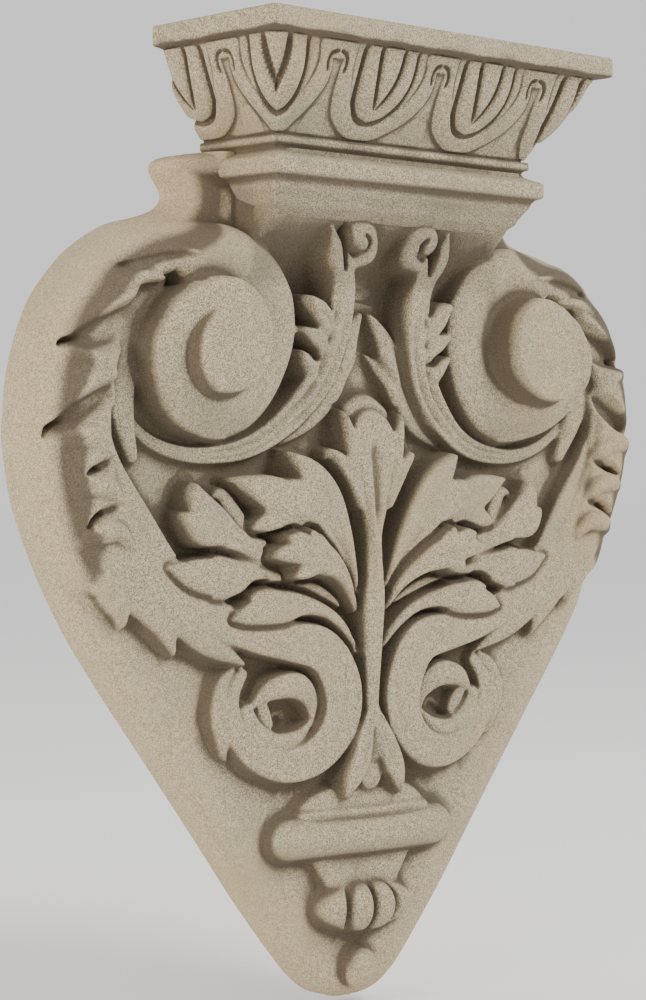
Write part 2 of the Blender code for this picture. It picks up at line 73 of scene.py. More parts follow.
class Sheet:
    """Points of the sheet and the depth of the stone there."""

    def __init__(self, x, z):
        self.x = x
        self.z = z
        self.depth = np.full(x.shape, GROUND)

    def near(self, line, spare):
        """Which points lie about a line."""
        reach = line[:, 2].max() + spare
        return ((self.x > line[:, 0].min() - reach) & (self.x < line[:, 0].max() + reach)
                & (self.z > line[:, 1].min() - reach) & (self.z < line[:, 1].max() + reach))

    def along(self, line, where):
        """Nearest place on a line: share of its length, signed offset, half width, top, ratio."""
        x, z = self.x[where], self.z[where]
        best = np.full(x.shape, np.inf)
        share = np.zeros(x.shape)
        offset = np.zeros(x.shape)
        half = np.ones(x.shape)
        top = np.zeros(x.shape)
        lengths = np.hypot(*np.diff(line[:, :2], axis=0).T)
        reached = np.concatenate([[0], np.cumsum(lengths)]) / max(lengths.sum(), 1e-6)
        for index in range(len(line) - 1):
            ax, az, aw, at = line[index][:4]
            bx, bz, bw, bt = line[index + 1][:4]
            dx, dz = bx - ax, bz - az
            t = np.clip(((x - ax) * dx + (z - az) * dz) / (dx * dx + dz * dz + 1e-9), 0, 1)
            ox, oz = x - ax - t * dx, z - az - t * dz
            width = np.maximum(aw + (bw - aw) * t, 0.3)
            distance = np.hypot(ox, oz)
            ratio = distance / width
            closer = ratio < best
            best = np.where(closer, ratio, best)
            offset = np.where(closer, np.sign(ox * dz - oz * dx) * distance, offset)
            half = np.where(closer, width, half)
            top = np.where(closer, at + (bt - at) * t, top)
            share = np.where(closer, reached[index] + t * (reached[index + 1] - reached[index]), share)
        return share, offset, half, top, best

    def raise_to(self, where, height, inside, wall):
        """Lifts the stone to a height; inside is the way in from the edge in mm, over a steep wall."""
        steep = np.clip(inside / wall + 0.4, 0, 1)
        steep = steep * steep * (3 - 2 * steep)
        target = self.depth[where]
        self.depth[where] = target + (np.maximum(height, target) - target) * steep

    def band(self, rows, crown=3.0, edge=2.5, kind="plain", wall=2.0, groove=1.2, spans=6):
        """A stem, strap or single lobe: rows of x, z, half width and depth of its crest."""
        line = smooth_rows(rows, spans)
        where = self.near(line, 3.0)
        if not where.any():
            return
        _, offset, half, top, ratio = self.along(line, where)
        across = np.clip(ratio, 0, 1)
        inside = (1 - ratio) * half
        height = top - crown * across ** 2
        rim = np.clip(1 - inside / edge, 0, 1)
        height = height - edge * 0.8 * (1 - np.sqrt(np.clip(1 - rim ** 2, 0, 1)))
        s = np.where(ratio < 1.3, offset / half, 0)
        if kind == "ribs":
            ribs = np.exp(-((s - 0.28) / 0.16) ** 2) + 0.6 * np.exp(-((s + 0.45) / 0.2) ** 2)
            height = height - groove * ribs
        elif kind == "gutter":
            height = height - groove * np.clip(1 - (s / 0.75) ** 2, 0, 1)
        self.raise_to(where, height, inside, wall)

    def leaf(self, lobes, veins=(), crown=2.2, edge=2.2, wall=2.0, melt=0.10, groove=1.1, spans=5,
             moat=0.0):
        """A leaf: lobes that run together into one soft surface, with veins, and a moat round it."""
        lines = [smooth_rows(rows, spans) for rows in lobes]
        reach = max(line[:, 2].max() for line in lines) + 3
        every = np.vstack(lines)
        where = ((self.x > every[:, 0].min() - reach) & (self.x < every[:, 0].max() + reach)
                 & (self.z > every[:, 1].min() - reach) & (self.z < every[:, 1].max() + reach))
        if not where.any():
            return
        deepest = np.full(where.sum(), -np.inf)
        weight = np.zeros(where.sum())
        height = np.zeros(where.sum())
        for line in lines:
            _, _, half, top, ratio = self.along(line, where)
            inside = (1 - ratio) * half
            pull = np.exp(np.clip(1 - ratio, -8, 1) / melt)
            height += pull * (top - crown * np.clip(ratio, 0, 1.2) ** 2)
            weight += pull
            deepest = np.maximum(deepest, inside)
        height = height / weight
        rim = np.clip(1 - deepest / edge, 0, 1)
        height = height - edge * 0.75 * (1 - np.sqrt(np.clip(1 - rim ** 2, 0, 1)))
        for rows in veins:
            line = smooth_rows(rows, spans)
            share, _, _, _, ratio = self.along(line, where)
            height = height - groove * np.exp(-(ratio * 1.2) ** 2) * np.clip((1 - share) * 4, 0, 1)
        if moat:
            lower = np.minimum(self.depth[where], GROUND + 1)
            sunk = self.depth[where] - moat * np.exp(-(np.clip(deepest + 1.2, -9, 0) / 1.3) ** 2)
            self.depth[where] = np.where(deepest > -6, np.maximum(sunk, lower), self.depth[where])
        self.raise_to(where, height, deepest, wall)

    def cut(self, rows, soft=1.0, spans=5):
        """A drilled eye or slot: rows of x, z, half width and depth of its floor."""
        line = smooth_rows(rows, spans)
        where = self.near(line, 3.0)
        if not where.any():
            return
        _, _, half, floor, ratio = self.along(line, where)
        inside = (1 - ratio) * half
        steep = np.clip(inside / soft, 0, 1)
        target = self.depth[where]
        self.depth[where] = np.where(inside > 0, target + (np.minimum(target, floor) - target) * steep,
                                     target)

    def groove(self, rows, deep=1.0, spans=5):
        """A soft line sunk into whatever is there: rows of x, z and half width."""
        line = smooth_rows([tuple(row[:3]) + (0.0,) for row in rows], spans)
        where = self.near(line, 4.0)
        if not where.any():
            return
        share, _, _, _, ratio = self.along(line, where)
        ends = np.clip(share * 5, 0, 1) * np.clip((1 - share) * 5, 0, 1)
        self.depth[where] -= FOLD_DEPTH * deep * np.exp(-ratio ** 2) * ends


# The big volute: one edge line winds in from the top, once round and once more round the eye.
# Turn in degrees, radius, depth of the edge, drop outside it
EYE = (116.5, 347.5)
WINDING = np.array([
    (60, 57.0, 35, 17), (90, 55.0, 34, 16), (110, 58.0, 34, 16), (128, 60.7, 34, 16),
    (143, 63.0, 33.5, 15), (159, 64.2, 33, 15), (180, 62.7, 32, 14), (199, 60.6, 31, 13),
    (215, 59.7, 30, 12), (235, 59.0, 28, 10), (253, 57.0, 26, 8), (274, 52.0, 30, 12),
    (299, 48.8, 36, 18), (317, 46.6, 40, 22), (333, 44.7, 44, 26), (352, 41.0, 46, 28),
    (373, 34.2, 46.5, 28), (402, 28.5, 47.5, 20), (431, 26.5, 49, 14), (469, 29.2, 51, 17),
    (505, 30.0, 52, 20), (540, 29.5, 52.5, 21), (563, 31.0, 53, 20), (592, 31.0, 53.4, 16),
    (616, 31.0, 53.5, 12), (647, 31.5, 53.7, 10), (676, 27.5, 53.8, 9.5), (706, 21.4, 54, 8),
    (740, 16.0, 54, 5), (780, 12.5, 54, 2), (811, 11.0, 54, 0)], float)


def volute(sheet):
    """The volute's band and eye."""
    dx, dz = sheet.x - EYE[0], sheet.z - EYE[1]
    r = np.hypot(dx, dz)
    where = r < 68
    dx, dz, r = dx[where], dz[where], r[where]
    theta = np.degrees(np.arctan2(dz, dx)) % 360
    first = np.where(theta < 60, theta + 360, theta)
    turns, radii, edges, drops = WINDING.T
    radius = lambda a: np.interp(a, turns, radii, right=0)
    edge_depth = lambda a: np.interp(a, turns, edges)
    foot_depth = lambda a: np.interp(a, turns, edges - drops)
    result = sheet.depth[where].copy()
    for turn in range(3):
        a = first + 360 * turn
        outer = radius(a)
        inner = np.minimum(radius(a + 360), outer - 1)
        inside = outer - r
        across = np.clip((outer - r) / np.maximum(outer - inner, 1), 0, 1)
        eased = across * across * (3 - 2 * across)
        last = a + 360 > turns[-1]
        inner_depth = np.where(last, 54.3, foot_depth(a + 360))
        outer_depth = edge_depth(a)
        height = outer_depth + (inner_depth - outer_depth) * eased
        swell = np.where(turn == 0, 2.2, 0.0) * np.sin(np.pi * np.clip(across * 1.15, 0, 1))
        height = height + swell * np.clip((300 - a) / 60, 0, 1)
        rounding = np.where(a < 250, 7.0, 2.6) if turn == 0 else 2.2
        rim = np.clip(1 - inside / rounding, 0, 1)
        lowering = rounding * 0.8 * (1 - np.sqrt(np.clip(1 - rim ** 2, 0, 1)))
        fading = np.interp(a, turns, np.clip(drops / 6, 0, 1))
        height = height - lowering * fading
        steep = np.clip(inside / 1.6, 0, 1)
        steep = steep * steep * (3 - 2 * steep)
        under = result if turn == 0 else np.minimum(result, np.maximum(foot_depth(a), GROUND))
        lifted = under + (np.maximum(height, under) - under) * steep
        result = np.where((inside > 0) & (a <= turns[-1]), lifted, result)
    sheet.depth[where] = np.maximum(sheet.depth[where], result)


OUTLINE_POINTS = [(0.5, 4.6), (9, 5.0), (17.5, 7.2), (26.0, 12.0), (38.9, 23.6), (68.5, 58.2),
                  (94, 91.4), (127.6, 134.5), (160.1, 175.9), (181.4, 206.0), (197.4, 235.2),
                  (209.1, 263.8), (214.2, 290), (214.5, 304), (211.2, 329.8), (200.7, 358.6),
                  (185.3, 378.3), (173.3, 388.6), (154.3, 399.4), (135, 404.5), (123.5, 408.8),
                  (118.6, 414), (119.2, 419), (123.2, 424), (125.4, 428.4), (123.5, 432.5),
                  (116, 435.5), (104, 437.5), (101, 438)]
OUTLINE_LINE = smooth_rows(OUTLINE_POINTS, 10)
OUTLINE = OUTLINE_LINE[np.argsort(OUTLINE_LINE[:, 1])]


def outline_half(z):
    """Half width of the plate at a height."""
    return np.interp(z, OUTLINE[:, 1], OUTLINE[:, 0])


def edge_distance(x, z):
    """Distance to the plate's outline."""
    best = np.full(x.shape, np.inf)
    for (ax, az), (bx, bz) in zip(OUTLINE_LINE[:-1:2], OUTLINE_LINE[2::2]):
        dx, dz = bx - ax, bz - az
        t = np.clip(((x - ax) * dx + (z - az) * dz) / (dx * dx + dz * dz + 1e-9), 0, 1)
        best = np.minimum(best, np.hypot(x - ax - t * dx, z - az - t * dz))
    return best


def relief(x, z):
    """Depth from the wall over the sheet; x is taken as its distance from the middle."""
    s = Sheet(np.abs(x), z)
    x = s.x

    # neck cove under the shelf, and the ear beside it
    cove = np.interp(z, [368, 374, 380, 386, 392, 398, 404, 412, 421, 440],
                     [18, 19, 21.5, 25.5, 31, 37.5, 44, 51, 55.5, 57])
    corner = np.clip((88 - x) / 6, 0, 1)
    neck = GROUND + (cove - GROUND) * np.sqrt(1 - (1 - corner) ** 2)
    s.depth = np.where((x < 88) & (z > 366), np.maximum(s.depth, neck), s.depth)
    s.depth = np.where((z > 398) & (x >= 80), np.maximum(s.depth, 25.0), s.depth)

    # shoulder between the volute and the stem, and the long stem down into the small scroll
    s.band([(138, 374, 6, 27), (150, 362, 10, 28), (161, 344, 12, 28.5), (165, 322, 11, 28.5),
            (161, 304, 8, 27), (154, 288, 5, 25)],
           crown=1.5, edge=5, wall=3)
    s.band([(171, 348, 6, 27), (175, 336, 7, 28), (177.5, 324, 7, 29), (178, 311, 6.8, 29),
            (176, 297, 6.8, 29), (170.5, 284, 7.2, 29), (162.5, 272, 7.8, 29), (154, 260, 8.4, 29),
            (146.5, 248, 9.2, 29), (138.5, 235, 10.2, 29.5), (127, 222, 10.6, 30),
            (112, 211, 10.4, 30.5), (95, 203, 10, 31), (78, 197.8, 10.4, 32), (58, 194.3, 11.5, 33),
            (38, 190, 13, 33.5), (27, 179, 13.8, 33.5), (21.5, 162, 14, 33), (26, 146, 12.6, 32),
            (38, 134.5, 11.3, 31), (54, 130, 9.5, 30), (70, 133, 8, 29), (84, 142, 7.5, 28),
            (91.5, 155, 6.5, 27), (90, 168, 5, 26), (83, 178, 4, 25)],
           crown=1.2, edge=2.2, kind="gutter", groove=0.8, spans=6)
    volute(s)

    # border: one swelling band out to the rim, with rounded noses along its inner edge
    s.band([(185, 345, 14, 31), (188, 320, 17, 31.5), (188, 295, 17, 31.5), (182, 272, 16, 31),
            (168, 251, 14, 30), (150, 232, 11, 29.5)],
           crown=0.5, edge=4, wall=3)
    s.leaf([[(128, 393, 7, 31), (150, 388, 12, 34), (170, 375, 16, 37), (183, 355, 20, 38),
             (192, 332, 21, 38), (196, 305, 21, 38), (194, 280, 22, 37), (185, 257, 22, 34.5),
             (173, 241, 19, 32), (161, 229.5, 15, 30.5), (147, 219, 12.5, 30), (130, 210, 11, 30),
             (112, 203.5, 9, 30)],
            [(172, 238, 12, 31), (166, 224, 10, 29), (161.5, 213, 5.5, 27), (159.5, 205, 1.8, 25)],
            [(150, 222, 12, 30), (140, 210, 10, 29.5), (133, 199, 6, 28), (129, 190, 2, 26)],
            [(124, 206, 10, 30), (110, 197, 9, 29.5), (97, 190, 6.5, 28.5), (84, 183.5, 2.5, 27)]],
           crown=3.5, edge=4.0, wall=2.6, melt=0.2)
    for rows in ([(203, 334, 6, 38), (194, 336, 6.5, 40.5), (184, 333.5, 6.5, 40),
                  (176.5, 325, 5.5, 37), (173.5, 313, 3.5, 33)],
                 [(206, 291, 5.5, 38), (197, 295.5, 6.5, 40.5), (186, 296, 6.5, 40),
                  (177.5, 289, 5.5, 37), (173, 279, 3.5, 33)],
                 [(192, 271, 5, 37.5), (183, 273.5, 5.5, 39.5), (174.5, 271, 5, 38.5),
                  (168, 263.5, 3.6, 34)],
                 [(187, 247, 5, 36), (179, 251, 5.5, 38), (169.5, 251.5, 5, 37.5),
                  (161.5, 245.5, 3.6, 33)]):
        s.band(rows, crown=3.0, edge=3.0, wall=2.4)
    s.band([(180, 368, 8, 33), (166, 377, 10, 34), (150, 382, 11, 34.5), (136, 384, 9, 35)], crown=1,
           edge=5, wall=3)
    s.leaf([[(200, 352, 6, 39), (188, 362, 8, 39.5), (173, 369, 7, 39), (158, 372.5, 4.5, 37.5),
             (143, 372, 1.8, 36)]], crown=3, edge=3)
    s.leaf([[(182, 381, 6, 37.5), (167, 386, 8, 40), (151, 388.5, 7, 40.5), (137, 388, 4.6, 40),
             (122, 385.5, 1.6, 38.5)]], crown=3, edge=3)
    # folds along the rim
    for rows, deep in (([(128, 399, 2.0), (152, 395, 2.2), (176, 382, 2.4), (194, 362, 2.4),
                         (204, 338, 2.2), (207.5, 312, 2.0)], 1.3),
                       ([(150, 380, 1.8), (172, 374, 2.0), (190, 358, 2.0), (200, 340, 1.8),
                         (203, 322, 1.5)], 1.2),
                       ([(208, 296, 2.2), (206, 276, 2.2), (197, 254, 2.2), (184, 238, 2.0),
                         (170, 226, 1.6)], 1.0),
                       ([(200, 322, 2.0), (197, 305, 2.4), (200, 286, 2.4), (196, 266, 2.2),
                         (188, 250, 1.8)], 0.9)):
        s.groove(rows, deep=deep)
    # commas between the noses, each with a drilled eye
    for rows in ([(196, 340, 2.6, 26), (187, 342, 7.5, 28), (175, 346.5, 10, 28),
                  (163, 353.5, 8.5, 27.5), (152, 362, 4, 28)],
                 [(205, 299, 2.4, 25.5), (199, 303, 5.2, 27), (190, 308.5, 7.5, 28),
                  (180, 315, 7, 28.5), (172, 321, 4, 29)],
                 [(188, 279.5, 1.8, 26), (183, 281.5, 3.2, 26.5), (176, 284, 3.4, 28),
                  (170, 287, 2.4, 29)],
                 [(184, 256.5, 2.0, 25), (179.5, 260, 3.4, 26), (172, 262, 3.4, 28),
                  (165, 264.5, 2.2, 29)]):
        s.cut(rows, soft=4.5)
    for rows in ([(199, 338, 1.2, 18), (196, 340.5, 1.9, 16), (190, 341.5, 1.1, 20)],
                 [(207, 295.5, 1.3, 18), (205, 299.5, 2.2, 15), (200, 303, 1.5, 18)],
                 [(190, 278.5, 0.9, 22), (186.5, 280, 1.7, 18), (181, 281, 1.0, 22)],
                 [(186, 253.5, 1.2, 20), (183, 257.5, 2.0, 16), (178, 260.5, 1.4, 19)],
                 [(158, 379, 0.9, 35), (165, 377.5, 1.6, 30), (171, 376, 0.9, 34)]):
        s.cut(rows, soft=1.4)

    # strap under the volute, rising into the sprig
    s.band([(163, 322, 2.5, 24), (156, 306, 3.2, 24), (142, 295, 3.8, 24), (122, 288.5, 4.5, 24.5),
            (103, 287.5, 5.4, 25), (84, 290.5, 6.5, 26), (66, 298.5, 7.5, 28), (50, 311, 9, 31),
            (37, 328, 10, 34), (30, 350, 9.5, 37), (28, 370, 8.5, 40), (31, 385, 7, 43)],
           crown=1.5, edge=2, kind="ribs", groove=2.6)
    # sprig: one broad leaf with its lobes
    s.leaf([[(60, 300, 5, 26), (46, 311, 8.5, 30), (36, 327, 10, 33), (30, 346, 10, 36),
             (28, 364, 9, 39), (31, 380, 8, 42), (38, 391, 6.5, 45), (42, 402.5, 2.2, 45)],
            [(56, 293, 2, 21), (38, 303, 4.5, 24), (25, 318, 7, 27), (17, 335, 8, 29),
             (12, 348, 6.5, 28), (6, 357, 4, 26), (2.5, 361, 1.6, 25)],
            [(24, 322, 6, 27), (12, 332, 4.5, 25), (3.5, 339.5, 1.8, 22)],
            [(29, 347, 7, 37), (41, 358, 7.5, 40), (50, 366, 3.5, 40)],
            [(33, 340, 6, 36), (45, 347, 5.5, 38), (53, 351, 2.8, 37)],
            [(36, 322, 6, 32), (45, 332, 6, 35), (53.5, 339.5, 2.5, 36)]], edge=1.8, melt=0.16,
           crown=2.6)
    for rows in ([(60, 299, 1.4), (42, 313, 1.6), (31, 332, 1.7), (26, 352, 1.6), (27, 372, 1.4)],
                 [(50, 300, 1.2), (34, 314, 1.4), (23, 332, 1.4), (17, 347, 1.2)],
                 [(56, 306, 1.2), (42, 323, 1.4), (36, 343, 1.3), (33, 362, 1.2), (36, 382, 1.1)],
                 [(34, 350, 1.0), (42, 358, 1.0), (49, 364, 0.8)],
                 [(37, 342, 0.9), (46, 347, 0.9), (51, 350, 0.7)]):
        s.groove(rows, deep=1.1)
    # sprig curl: the rolled tip, with a slot between it and the upright lobe
    s.band([(27, 384, 5, 42), (16, 391, 7.5, 45), (20, 398, 10.5, 49.5), (25, 400, 9.5, 49.5)], crown=5,
           edge=4, wall=2.4)
    s.cut([(31, 382, 1.2, 34), (32.5, 391, 2.0, 29), (34, 400, 1.5, 30), (33, 406, 0.8, 38)], soft=1.4)
    s.cut([(20, 391, 1.0, 42), (19.5, 396, 1.4, 41), (23, 399.5, 0.9, 43)], soft=1.2)
    s.cut([(39, 336, 0.9, 27), (44, 337.5, 1.7, 24), (49, 341.5, 0.9, 26)], soft=1.2)
    s.cut([(36, 361, 0.9, 30), (39.5, 365.5, 1.6, 27), (43, 368, 1.0, 28)], soft=1.2)

    # palmette: the outer lower leaves, the big upper leaf and the front leaf
    s.leaf([[(8, 186, 2.5, 28), (18, 198, 3.6, 31), (32, 208, 4.6, 33), (48, 212.5, 6.5, 34),
             (66, 212, 9.5, 34.5), (84, 209, 7, 34), (95, 206, 2.0, 32)],
            [(62, 214, 6.5, 33.5), (76, 216.5, 6.5, 33.5), (85, 217.5, 2.5, 32)]],
           veins=[[(12, 194, 1.1, 0), (34, 209, 1.2, 0), (60, 213.5, 1.2, 0), (84, 209, 1.0, 0)]],
           moat=2.5)
    s.leaf([[(20, 212, 3, 28), (50, 226, 5.5, 31), (76, 230, 7.5, 32.5), (98, 227, 10.5, 33),
             (118, 229, 9, 32.5), (135, 233, 2.0, 30)],
            [(86, 228, 7.5, 32), (106, 231, 8.5, 33)], [(88, 225, 6, 32), (100, 220, 5, 32),
                                                        (108, 217.5, 2, 31)]],
           veins=[[(40, 222, 1.2, 0), (76, 231, 1.2, 0), (122, 230, 1.0, 0)]], moat=2.0)
    s.leaf([[(48, 230, 4, 29), (80, 241, 7, 33), (98, 247, 8.5, 35), (112, 254, 11, 36),
             (120, 266, 6.5, 35), (120.5, 273, 2.0, 33)],
            [(100, 248, 7.5, 35), (116, 250, 8.5, 36), (125, 256, 5, 35), (129, 259, 2.0, 33)],
            [(84, 245, 5, 32), (94, 258, 6, 30), (101, 267, 5, 29), (107, 267, 2.5, 29)]],
           veins=[[(64, 236, 1.2, 0), (98, 249, 1.3, 0), (118, 268, 1.0, 0)]], moat=2.0)
    s.leaf([[(10, 218, 2.5, 31), (17, 234, 5, 34), (25, 250, 7.5, 36.5), (35, 266, 9.5, 38),
             (47, 278, 8.5, 38), (58.5, 288.5, 1.8, 36)],
            [(14, 220, 3, 31), (30, 240, 8, 35), (50, 257, 12.5, 38.5), (70, 266, 11.5, 38.5),
             (86, 271.5, 6.5, 37.5), (98, 275, 1.6, 35.5)],
            [(52, 254, 9, 37), (70, 255, 8.5, 37.5), (82, 252.5, 4.5, 36.5), (86, 250.5, 1.8, 35)],
            [(40, 264, 9, 38), (52, 268, 8.5, 38), (60, 270, 7, 38)]],
           veins=[[(14, 224, 1.3, 0), (30, 246, 1.3, 0), (54, 262, 1.3, 0), (94, 273.5, 1.0, 0)],
                  [(22, 240, 1.1, 0), (36, 264, 1.2, 0), (55, 284, 1.0, 0)],
                  [(40, 248, 1.1, 0), (60, 255, 1.1, 0), (82, 252, 0.9, 0)]], edge=2.4, melt=0.16,
           groove=0.9, moat=2.5)
    s.leaf([[(11, 208, 2.2, 31), (20, 221, 4, 35.5), (32, 231, 6.5, 40), (46, 237, 9.5, 43),
             (58, 239.5, 8, 43.5), (69, 238.5, 5, 42), (75, 237, 2.0, 40)],
            [(44, 237, 8, 42), (54, 231, 6, 42), (60, 227.5, 2.6, 40)],
            [(50, 240, 7, 43), (61, 245, 5.5, 43), (67, 246.5, 2.6, 41.5)],
            [(40, 238, 5, 42), (48, 245, 5, 42.5), (52, 249.5, 2.2, 41)]],
           veins=[[(16, 217, 1.1, 0), (36, 234, 1.2, 0), (70, 239, 1.0, 0)],
                  [(40, 236, 1.0, 0), (58, 230, 0.8, 0)]],
           melt=0.14, edge=2.2, wall=1.7, moat=4.5)
    for rows in ([(61, 251.5, 1.0, 26), (66, 250, 1.5, 23), (73, 248, 1.6, 22), (80, 247, 1.0, 24)],
                 [(75, 223.5, 1.5, 19), (83, 222, 2.0, 18), (89, 217.5, 1.8, 18)],
                 [(106, 240.5, 1.3, 19), (116, 240.5, 1.8, 18), (126, 242.5, 1.6, 18)],
                 [(43, 250, 0.8, 33), (46.5, 251.5, 1.4, 29), (48, 249, 0.8, 33)]):
        s.cut(rows)
    # middle stalk and leaf: the rolled tip leans back behind the leaf's face
    s.band([(-9, 307.5, 10, 29), (0, 309.5, 11.5, 30), (9, 307.5, 10, 29)], crown=8, edge=3, wall=2.4)
    s.leaf([[(0, 122, 9, 31), (0, 140, 6.5, 31), (0, 165, 6.2, 31.5), (0, 190, 7.5, 33),
             (0, 212, 8.6, 35), (0, 228, 7, 36), (0, 246, 6, 36.5), (0, 258, 8.5, 36.5),
             (0, 270, 12.5, 36), (0, 282, 16, 35), (0, 293, 17, 34), (0, 299, 13, 33)],
            [(8, 268, 6, 35), (13.5, 286, 6.5, 35), (17.5, 299, 4.2, 34.5), (21, 310.5, 1.2, 33)],
            [(9, 264, 5, 35), (16, 276, 5, 35), (23, 285, 4.5, 34), (29, 288.5, 3.2, 31.5),
             (31, 285.5, 1.8, 28)]],
           melt=0.16, edge=2.2, moat=2.5)
    for rows in ([(0, 304, 6.0), (0, 286, 4.5), (0, 262, 2.4), (0, 236, 1.2)],
                 [(0, 300, 4.0), (0, 280, 3.0), (0, 250, 1.4)],
                 [(4, 214, 1.1), (3.6, 244, 1.1), (9, 270, 1.3), (16.5, 300, 1.1)],
                 [(9, 264, 0.9), (16, 276, 1.1), (25, 286, 0.9)]):
        s.groove(rows, deep=1.3)
    s.cut([(23, 291, 1.0, 24), (26, 294, 1.4, 20)], soft=1.2)

    # inside the small scroll: a curled leaf
    s.band([(39, 150, 2, 26), (41, 163, 6, 29), (52, 171.5, 8, 32), (67, 170, 6.5, 31),
            (78, 163, 3, 27)], edge=2)
    s.band([(41, 151, 3, 27), (50, 144.5, 5, 28.5), (64, 143, 6, 28.5), (77, 149, 7, 28),
            (82, 160, 5, 27)], edge=2)
    s.band([(74, 166, 4, 27), (70, 158, 5.5, 26), (66, 152, 4, 25)], edge=2)
    s.cut([(50, 156, 1.2, 20), (56, 153, 2.8, 16), (62, 149.5, 1.6, 17)])
    s.band([(88, 181, 3, 23), (97, 173, 5, 26), (100.5, 160, 6, 27), (98, 149, 5.5, 26),
            (96, 141, 4, 24), (92, 136, 2, 20)], edge=2)

    # urn: bowl, ring, neck, ribs and ball
    share = np.clip((z - 98) / 22.5, 0, 1)
    side = 49.0 * np.sqrt(np.clip(1 - share ** 2.2, 0, 1)) + 0.01
    across = np.clip(1 - (x / side) ** 4, 0, 1) ** 0.5
    bowl = GROUND + (4 + 7 * np.sqrt(np.clip(1 - share ** 2, 0, 1))) * across
    s.depth = np.where((x < side) & (z > 92) & (z < 120), np.maximum(s.depth, bowl), s.depth)
    bead = np.clip(1 - ((z - 103.5) / 2.2) ** 2, 0, 1) * np.clip((50 - x) / 3, 0, 1)
    s.depth = np.where(bead > 0, np.maximum(s.depth, bowl + 2.2 * np.sqrt(bead)), s.depth)
    taper = np.interp(z, [58, 66, 72, 82], [27, 28, 32, 39])
    s.depth = np.where((x < taper) & (z > 62) & (z < 84),
                       np.maximum(s.depth, GROUND + 8 * np.clip(1 - (x / taper) ** 4, 0, 1) ** 0.5),
                       s.depth)
    over = np.clip((x - 50) / 15.5, 0, 1)
    half = 12.4 * np.sqrt(np.clip(1 - over ** 2.2, 0, 1)) + 0.01
    round_z = np.clip(1 - ((z - 91.5) / half) ** 2, 0, 1)
    ring = GROUND + (17.0 * np.sqrt(np.clip(1 - (x / 68.0) ** 2.4, 0, 1)) + 1) * np.sqrt(round_z)
    s.depth = np.where((round_z > 0) & (x < 68), np.maximum(s.depth, ring), s.depth)
    melon = np.clip(1 - (x / 35.0) ** 2 - ((z - 54) / 14.5) ** 2, 0, 1)
    outer_seam = 17.2 * np.sqrt(np.clip(1 - ((z - 54) / 17.5) ** 2, 0.1, 1))
    seams = np.exp(-(x / 1.7) ** 2) + np.exp(-((x - outer_seam) / 1.7) ** 2)
    swell = 2.0 * np.abs(np.sin(math.pi * np.clip(x, 0, 35) / 17.4)) - 5.0 * seams
    s.depth = np.where(melon > 0,
                       np.maximum(s.depth,
                                  GROUND + 16 * np.sqrt(melon) + swell * np.clip(melon * 4, 0, 1)),
                       s.depth)
    ball = 1 - (x / 11.4) ** 2 - ((z - 21.5) / 11.4) ** 2
    s.depth = np.where(ball > 0, np.maximum(s.depth, GROUND + 12.5 * np.sqrt(np.clip(ball, 0, 1))),
                       s.depth)
    # calyx tips at the foot of the stalk, in front of the bowl
    s.leaf([[(0, 152, 7, 33), (0, 140, 8, 33.5), (0, 132, 4.5, 33)],
            [(4, 150, 5, 33), (9, 136, 7.5, 35.5), (14.5, 124, 6.8, 36), (19, 112.5, 2.0, 34)]],
           melt=0.16, wall=1.6)
    s.groove([(3, 156, 1.0), (7, 138, 1.3), (14, 121, 1.0)], deep=1.2)
    s.groove([(0, 150, 1.6), (0, 136, 2.2), (0, 126, 2.4)], deep=1.6)

    return s.depth


def finish_edges(d, z, distance):
    """Rounds the front edge of the plate off towards its outline, most of all beside the border."""
    border = np.clip((z - 200) / 50, 0, 1) * np.clip((436 - z) / 10, 0, 1)
    border = border * border * (3 - 2 * border)
    run = 7.0 + 20.0 * border
    foot = 9.5 - 8.7 * border
    rim = np.clip(1 - distance / run, 0, 1)
    return foot + (d - foot) * np.sqrt(np.clip(1 - rim ** 2, 0, 1))


# Meshes.
MAP_STEP = 0.4
MAP_LOW = 3.0
MAP_HALF = 218.0
MAP_TOP = 440.0
PLATE_STEP = 0.78
PLATE_HALF = 215.5
PLATE_TRIANGLES = 196000
GATHER_PASSES = 24
STONE_WEAR = 0.65
# How far the soft averages for the dirt and painted shade in the hollows reach, in mm
DIRT_AND_SHADE_REACHES = (1.6, 3.5, 8.0)
# Where the painted shade under the shelf lies on the neck: its lowest height and its half width
NECK_LOW = 366.0
NECK_HALF = 92.0


def blur(values, reach):
    """A soft average over a grid of values, reach in grid steps."""
    padded = np.pad(values, int(reach * 3), mode="edge")
    rows = np.fft.fftfreq(padded.shape[0])[:, None]
    columns = np.fft.rfftfreq(padded.shape[1])[None, :]
    weight = np.exp(-2 * (math.pi * reach) ** 2 * (rows ** 2 + columns ** 2))
    soft = np.fft.irfft2(np.fft.rfft2(padded) * weight, s=padded.shape)
    spare = int(reach * 3)
    return soft[spare:spare + values.shape[0], spare:spare + values.shape[1]]


class Map:
    """The relief worked out once on the right half, to be read anywhere on the sheet."""

    def __init__(self, step):
        self.step = step
        x = np.arange(0, MAP_HALF, step)
        z = np.arange(MAP_LOW, MAP_TOP, step)
        wide, tall = np.meshgrid(x, z)
        depth = relief(wide, tall)
        whole = np.concatenate([depth[:, :0:-1], depth], 1)
        self.depth = blur(whole, STONE_WEAR / step)
        self.around = [(reach, blur(whole, reach / step)) for reach in DIRT_AND_SHADE_REACHES]
        self.middle = len(x) - 1

    def read(self, values, x, z):
        """One of the maps at these points, between its own points in a straight line."""
        column = np.clip(x / self.step + self.middle, 0, values.shape[1] - 1.001)
        row = np.clip((z - MAP_LOW) / self.step, 0, values.shape[0] - 1.001)
        left, under = column.astype(int), row.astype(int)
        over, up = column - left, row - under
        lower = values[under, left] * (1 - over) + values[under, left + 1] * over
        upper = values[under + 1, left] * (1 - over) + values[under + 1, left + 1] * over
        return lower * (1 - up) + upper * up


